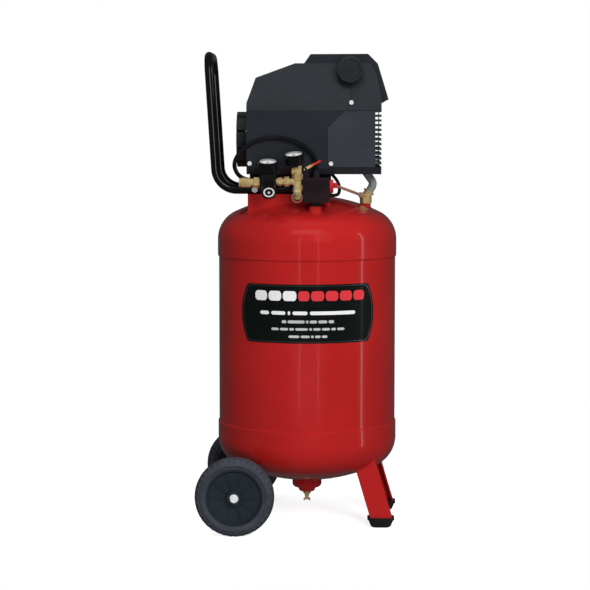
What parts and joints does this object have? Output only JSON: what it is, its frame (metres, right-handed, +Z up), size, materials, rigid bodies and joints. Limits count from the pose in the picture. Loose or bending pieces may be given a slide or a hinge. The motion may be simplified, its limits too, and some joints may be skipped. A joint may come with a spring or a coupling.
{
  "type": "vertical tank air compressor",
  "caption": "Upright tank air compressor: oil-free pump under a shroud, wheels and feet below, push handle, gauges, regulator, switch and quick coupler.",
  "frame": {"origin": "centre of the footprint box of the whole compressor, on the floor", "axes": "+Z up along the tank; -Y towards the label and gauges; -X towards the wheels and the push handle"},
  "size_m": [0.4554, 0.49, 1.078],
  "materials": {
    "red_paint": "gloss",
    "label": "satin",
    "zinc_steel": "satin",
    "hub_plastic": "satin",
    "tyre_rubber": "matte",
    "black_rubber": "matte",
    "handle_paint": "gloss",
    "base_paint": "satin",
    "motor_paint": "satin",
    "laminated_steel": "satin",
    "shaft_steel": "polished",
    "fan_plastic": "satin",
    "cast_aluminium": "cast",
    "spring_steel": "satin",
    "rod_aluminium": "machined",
    "shroud_plastic": "semi-gloss",
    "cap_plastic": "satin",
    "filter_felt": "matte",
    "brass": "satin",
    "aluminium_tube": "satin",
    "copper_tube": "satin",
    "switch_metal": "satin",
    "switch_plastic": "satin",
    "red_cap": "satin",
    "lever_metal": "gloss",
    "regulator_black": "satin",
    "knob_plastic": "satin",
    "gauge_case": "gloss",
    "dial_white": "matte",
    "lens": "clear",
    "needle": "matte",
    "ring_steel": "polished",
    "lead_jacket": "satin",
    "gland_plastic": "satin"
  },
  "bodies": {
    "frame": {"tank_shell": "red_paint", "tank_top_head": "red_paint", "tank_bottom_head": "red_paint", "tank_bosses": "red_paint", "tank_label": "label", "drain_valve_body": "brass", "wheel_brackets": "red_paint", "legs": "red_paint", "foot_caps": "black_rubber", "pump_saddle": "red_paint", "handle_tube": "handle_paint", "fasteners": "zinc_steel", "rubber_mounts": "black_rubber", "pump_base": "base_paint", "motor_end_bell": "motor_paint", "motor_housing": "motor_paint", "motor_stator": "laminated_steel", "bearings": "shaft_steel", "crankcase": "cast_aluminium", "cylinder": "cast_aluminium", "valve_plate": "spring_steel", "cylinder_head": "cast_aluminium", "shroud_front": "shroud_plastic", "shroud_rear": "shroud_plastic", "filter_element": "filter_felt", "check_valve_body": "brass", "discharge_tube": "aluminium_tube", "unloader_tube": "copper_tube", "tube_nuts": "brass", "switch_base": "switch_metal", "switch_cover": "switch_plastic", "unloader_valve": "red_cap", "manifold": "brass", "regulator_body": "regulator_black", "gauge_cases": "gauge_case", "gauge_dials": "dial_white", "gauge_lenses": "lens", "coupler_body": "brass", "relief_valve_body": "brass", "motor_lead": "lead_jacket", "pump_lead": "lead_jacket", "lead_glands": "gland_plastic"},
    "front_wheel": {"wheel_hub_front": "hub_plastic", "wheel_tyre_front": "tyre_rubber"},
    "rear_wheel": {"wheel_hub_rear": "hub_plastic", "wheel_tyre_rear": "tyre_rubber"},
    "rotor": {"motor_rotor": "laminated_steel", "motor_shaft": "shaft_steel", "cooling_fan": "fan_plastic"},
    "rod": {"connecting_rod": "rod_aluminium"},
    "piston": {"piston": "rod_aluminium"},
    "filter_cap": {"filter_cap": "cap_plastic"},
    "drain_key": {"drain_valve_key": "brass"},
    "tank_needle": {"tank_gauge_needle": "needle"},
    "line_needle": {"line_gauge_needle": "needle"},
    "regulator_knob": {"regulator_knob": "knob_plastic"},
    "coupler_sleeve": {"coupler_sleeve": "brass"},
    "relief_stem": {"relief_stem": "brass"},
    "relief_ring": {"relief_ring": "ring_steel"},
    "switch_lever": {"switch_lever": "lever_metal"}
  },
  "joints": [
    {"name": "front_wheel_spin", "type": "hinge", "parent": "frame", "child": "front_wheel", "pos_m": [-0.1374, -0.214, 0.0889], "axis": [0, 1, 0], "continuous": true},
    {"name": "rear_wheel_spin", "type": "hinge", "parent": "frame", "child": "rear_wheel", "pos_m": [-0.1374, 0.214, 0.0889], "axis": [0, 1, 0], "continuous": true},
    {"name": "shaft_spin", "type": "hinge", "parent": "frame", "child": "rotor", "pos_m": [0.0956, 0, 0.88], "axis": [1, 0, 0], "continuous": true},
    {"name": "rod_orbit", "type": "hinge", "parent": "rotor", "child": "rod", "pos_m": [0.0956, 0, 0.872], "axis": [1, 0, 0], "continuous": true},
    {"name": "piston_stroke", "type": "slide", "parent": "frame", "child": "piston", "axis": [0, 0, 1], "range_m": [0, 0.016]},
    {"name": "filter_cap_twist", "type": "hinge", "parent": "frame", "child": "filter_cap", "pos_m": [0.1186, -0.115, 1.036], "axis": [0, -1, 0], "range_deg": [0, 60]},
    {"name": "drain_key_turn", "type": "hinge", "parent": "frame", "child": "drain_key", "pos_m": [0.0206, 0, 0.05], "axis": [0, 0, 1], "range_deg": [0, 360]},
    {"name": "tank_needle_turn", "type": "hinge", "parent": "frame", "child": "tank_needle", "pos_m": [-0.006, -0.17309, 0.84662], "axis": [0.09, 0.2799, -0.9558], "range_deg": [0, 270], "stiffness_Nm_per_rad": 0.002},
    {"name": "line_needle_turn", "type": "hinge", "parent": "frame", "child": "line_needle", "pos_m": [-0.0634, -0.17158, 0.83022], "axis": [0, 0.29, -0.957], "range_deg": [0, 270], "stiffness_Nm_per_rad": 0.002},
    {"name": "regulator_knob_turn", "type": "hinge", "parent": "frame", "child": "regulator_knob", "pos_m": [-0.0634, -0.165, 0.787], "axis": [0.07, -0.8634, -0.4997], "range_deg": [0, 720]},
    {"name": "coupler_sleeve_pull", "type": "slide", "parent": "frame", "child": "coupler_sleeve", "axis": [1, 0, 0], "range_m": [0, 0.005], "stiffness_N_per_m": 800, "springref_m": -0.003},
    {"name": "relief_stem_pull", "type": "slide", "parent": "frame", "child": "relief_stem", "axis": [0, -1, 0], "range_m": [0, 0.004], "stiffness_N_per_m": 900, "springref_m": -0.003},
    {"name": "relief_ring_swing", "type": "hinge", "parent": "relief_stem", "child": "relief_ring", "pos_m": [0.0021, -0.208, 0.766], "axis": [1, 0, 0], "range_deg": [-110, 5]},
    {"name": "switch_lever_throw", "type": "hinge", "parent": "frame", "child": "switch_lever", "pos_m": [0.0171, -0.16, 0.815], "axis": [0, 1, 0], "range_deg": [0, 38]}
  ],
  "couplings": [
    {"joint": "rod_orbit", "follows": "shaft_spin", "ratio": -1}
  ]
}
